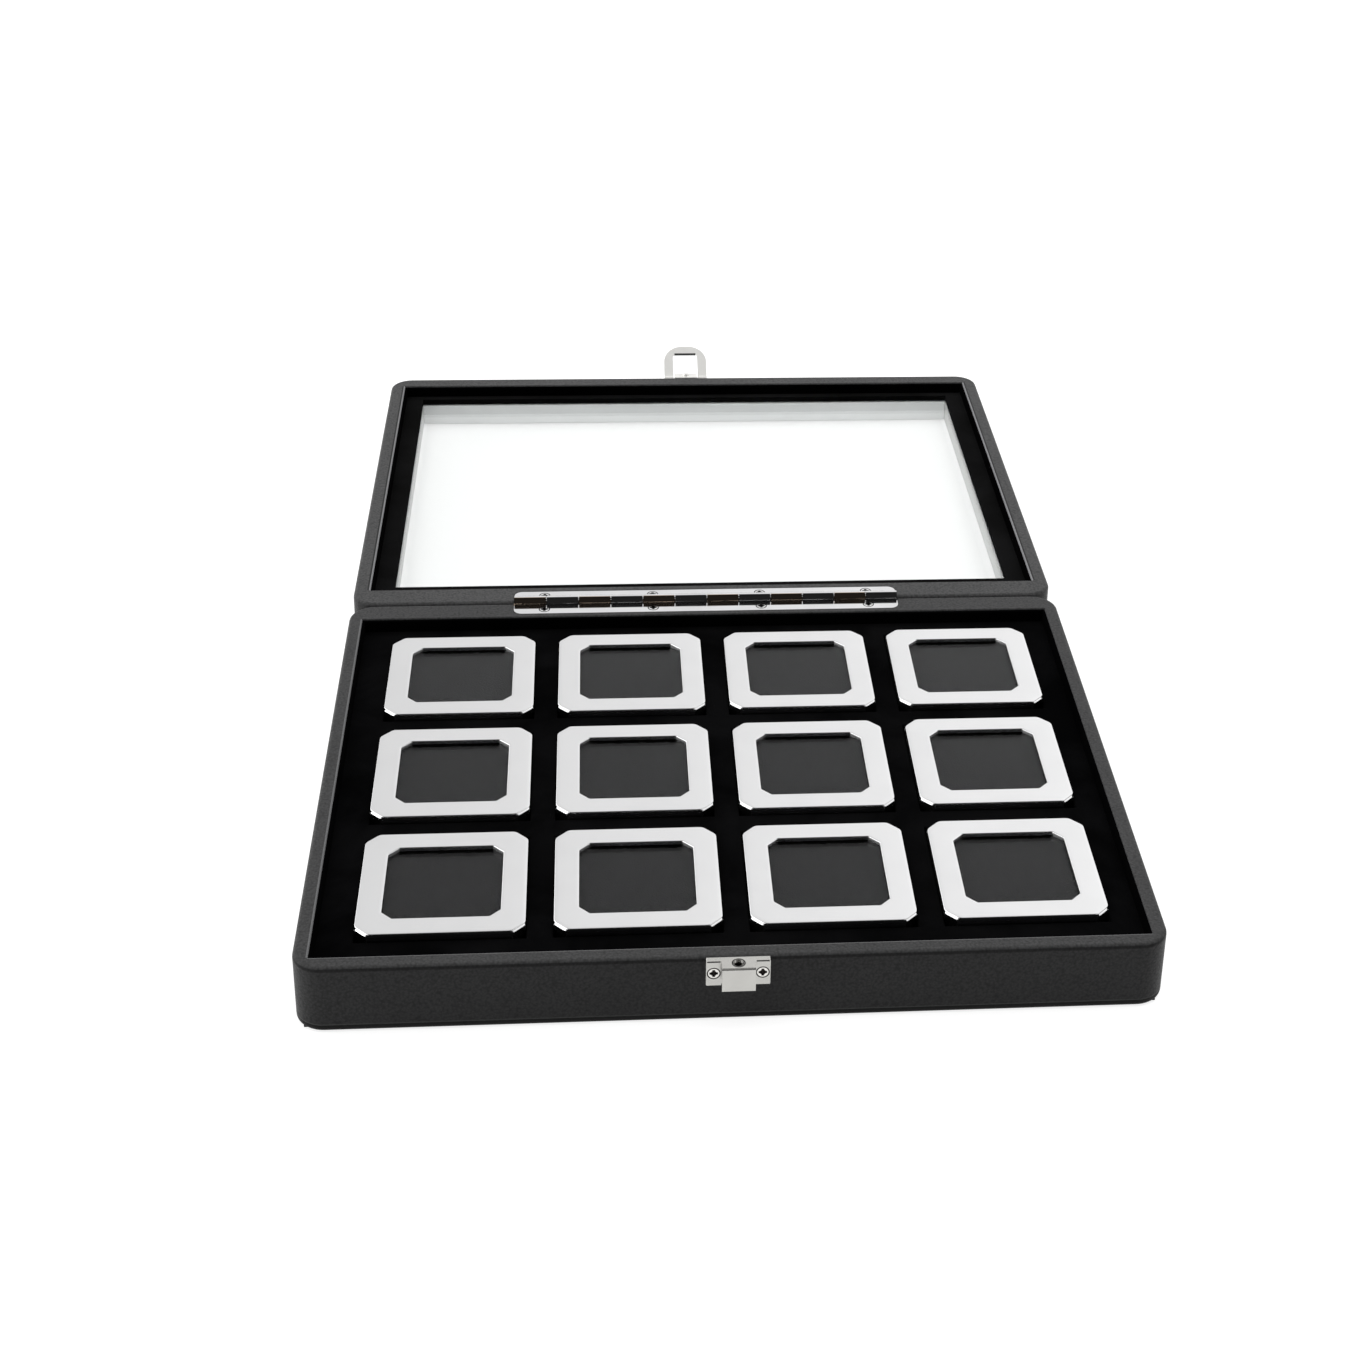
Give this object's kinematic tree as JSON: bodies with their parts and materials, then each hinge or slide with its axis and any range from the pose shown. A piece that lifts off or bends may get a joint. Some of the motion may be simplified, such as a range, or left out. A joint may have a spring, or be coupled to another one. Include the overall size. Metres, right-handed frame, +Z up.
{
  "type": "diamond box",
  "caption": "Flat black display case for gemstones, its glass-topped lid laid open on a hinge, with a hasp and rows of small glazed gem boxes in a velvet insert.",
  "frame": {"origin": "centre of the underside of the base, on the table", "axes": "+Z up; -Y to the front, where the catch is; +Y to the hinge and the open lid; +X to the right as seen from the front"},
  "size_m": [0.3066, 0.5229, 0.0302],
  "materials": {
    "leatherette": "fine-grained black leatherette, satin",
    "covered_board": "black covering paper",
    "velvet": "black velvet",
    "grey_card": "light grey, matt",
    "clear_glass": "clear, polished",
    "plated_steel": "nickel-plated, satin",
    "screw_steel": "plated, polished",
    "bright_chrome": "polished",
    "satin_metal": "silver, satin",
    "foam": "dark grey foam, fine cells"
  },
  "bodies": {
    "base": {"base_case": "leatherette", "base_board": "covered_board", "velvet_insert": "velvet", "base_lining": "velvet", "catch_plate": "plated_steel", "catch_screws": "screw_steel", "base_hinge_leaf": "bright_chrome", "base_hinge_screws": "screw_steel", "hinge_pin": "screw_steel"},
    "lid": {"lid_case": "leatherette", "lid_lining": "velvet", "velvet_bezel": "velvet", "window_frame": "grey_card", "lid_glass": "clear_glass", "lid_hinge_leaf": "bright_chrome", "lid_hinge_screws": "screw_steel", "hasp_plate": "plated_steel", "hasp_screws": "screw_steel", "hasp_pin": "screw_steel"},
    "hasp": {"hasp_loop": "plated_steel"},
    "gem_box_a1": {"gem_tray_a1": "satin_metal", "foam_pad_a1": "foam"},
    "gem_cover_a1": {"gem_lid_a1": "satin_metal"},
    "gem_box_a2": {"gem_tray_a2": "satin_metal", "foam_pad_a2": "foam"},
    "gem_cover_a2": {"gem_lid_a2": "satin_metal"},
    "gem_box_a3": {"gem_tray_a3": "satin_metal", "foam_pad_a3": "foam"},
    "gem_cover_a3": {"gem_lid_a3": "satin_metal"},
    "gem_box_a4": {"gem_tray_a4": "satin_metal", "foam_pad_a4": "foam"},
    "gem_cover_a4": {"gem_lid_a4": "satin_metal"},
    "gem_box_b1": {"gem_tray_b1": "satin_metal", "foam_pad_b1": "foam"},
    "gem_cover_b1": {"gem_lid_b1": "satin_metal"},
    "gem_box_b2": {"gem_tray_b2": "satin_metal", "foam_pad_b2": "foam"},
    "gem_cover_b2": {"gem_lid_b2": "satin_metal"},
    "gem_box_b3": {"gem_tray_b3": "satin_metal", "foam_pad_b3": "foam"},
    "gem_cover_b3": {"gem_lid_b3": "satin_metal"},
    "gem_box_b4": {"gem_tray_b4": "satin_metal", "foam_pad_b4": "foam"},
    "gem_cover_b4": {"gem_lid_b4": "satin_metal"},
    "gem_box_c1": {"gem_tray_c1": "satin_metal", "foam_pad_c1": "foam"},
    "gem_cover_c1": {"gem_lid_c1": "satin_metal"},
    "gem_box_c2": {"gem_tray_c2": "satin_metal", "foam_pad_c2": "foam"},
    "gem_cover_c2": {"gem_lid_c2": "satin_metal"},
    "gem_box_c3": {"gem_tray_c3": "satin_metal", "foam_pad_c3": "foam"},
    "gem_cover_c3": {"gem_lid_c3": "satin_metal"},
    "gem_box_c4": {"gem_tray_c4": "satin_metal", "foam_pad_c4": "foam"},
    "gem_cover_c4": {"gem_lid_c4": "satin_metal"}
  },
  "joints": [
    {"name": "lid_hinge", "type": "hinge", "parent": "base", "child": "lid", "pos_m": [0, 0.124, 0.02755], "axis": [-1, 0, 0], "range_deg": [-181.59, 0]},
    {"name": "hasp_pivot", "type": "hinge", "parent": "lid", "child": "hasp", "pos_m": [0, 0.37552, 0.01742], "axis": [-1, 0, 0], "range_deg": [-55, 0]},
    {"name": "gem_box_lift_a1", "type": "slide", "parent": "base", "child": "gem_box_a1", "axis": [0, 0, 1], "range_m": [0, 0.04]},
    {"name": "gem_cover_lift_a1", "type": "slide", "parent": "gem_box_a1", "child": "gem_cover_a1", "axis": [0, 0, 1], "range_m": [0, 0.02]},
    {"name": "gem_box_lift_a2", "type": "slide", "parent": "base", "child": "gem_box_a2", "axis": [0, 0, 1], "range_m": [0, 0.04]},
    {"name": "gem_cover_lift_a2", "type": "slide", "parent": "gem_box_a2", "child": "gem_cover_a2", "axis": [0, 0, 1], "range_m": [0, 0.02]},
    {"name": "gem_box_lift_a3", "type": "slide", "parent": "base", "child": "gem_box_a3", "axis": [0, 0, 1], "range_m": [0, 0.04]},
    {"name": "gem_cover_lift_a3", "type": "slide", "parent": "gem_box_a3", "child": "gem_cover_a3", "axis": [0, 0, 1], "range_m": [0, 0.02]},
    {"name": "gem_box_lift_a4", "type": "slide", "parent": "base", "child": "gem_box_a4", "axis": [0, 0, 1], "range_m": [0, 0.04]},
    {"name": "gem_cover_lift_a4", "type": "slide", "parent": "gem_box_a4", "child": "gem_cover_a4", "axis": [0, 0, 1], "range_m": [0, 0.02]},
    {"name": "gem_box_lift_b1", "type": "slide", "parent": "base", "child": "gem_box_b1", "axis": [0, 0, 1], "range_m": [0, 0.04]},
    {"name": "gem_cover_lift_b1", "type": "slide", "parent": "gem_box_b1", "child": "gem_cover_b1", "axis": [0, 0, 1], "range_m": [0, 0.02]},
    {"name": "gem_box_lift_b2", "type": "slide", "parent": "base", "child": "gem_box_b2", "axis": [0, 0, 1], "range_m": [0, 0.04]},
    {"name": "gem_cover_lift_b2", "type": "slide", "parent": "gem_box_b2", "child": "gem_cover_b2", "axis": [0, 0, 1], "range_m": [0, 0.02]},
    {"name": "gem_box_lift_b3", "type": "slide", "parent": "base", "child": "gem_box_b3", "axis": [0, 0, 1], "range_m": [0, 0.04]},
    {"name": "gem_cover_lift_b3", "type": "slide", "parent": "gem_box_b3", "child": "gem_cover_b3", "axis": [0, 0, 1], "range_m": [0, 0.02]},
    {"name": "gem_box_lift_b4", "type": "slide", "parent": "base", "child": "gem_box_b4", "axis": [0, 0, 1], "range_m": [0, 0.04]},
    {"name": "gem_cover_lift_b4", "type": "slide", "parent": "gem_box_b4", "child": "gem_cover_b4", "axis": [0, 0, 1], "range_m": [0, 0.02]},
    {"name": "gem_box_lift_c1", "type": "slide", "parent": "base", "child": "gem_box_c1", "axis": [0, 0, 1], "range_m": [0, 0.04]},
    {"name": "gem_cover_lift_c1", "type": "slide", "parent": "gem_box_c1", "child": "gem_cover_c1", "axis": [0, 0, 1], "range_m": [0, 0.02]},
    {"name": "gem_box_lift_c2", "type": "slide", "parent": "base", "child": "gem_box_c2", "axis": [0, 0, 1], "range_m": [0, 0.04]},
    {"name": "gem_cover_lift_c2", "type": "slide", "parent": "gem_box_c2", "child": "gem_cover_c2", "axis": [0, 0, 1], "range_m": [0, 0.02]},
    {"name": "gem_box_lift_c3", "type": "slide", "parent": "base", "child": "gem_box_c3", "axis": [0, 0, 1], "range_m": [0, 0.04]},
    {"name": "gem_cover_lift_c3", "type": "slide", "parent": "gem_box_c3", "child": "gem_cover_c3", "axis": [0, 0, 1], "range_m": [0, 0.02]},
    {"name": "gem_box_lift_c4", "type": "slide", "parent": "base", "child": "gem_box_c4", "axis": [0, 0, 1], "range_m": [0, 0.04]},
    {"name": "gem_cover_lift_c4", "type": "slide", "parent": "gem_box_c4", "child": "gem_cover_c4", "axis": [0, 0, 1], "range_m": [0, 0.02]}
  ]
}
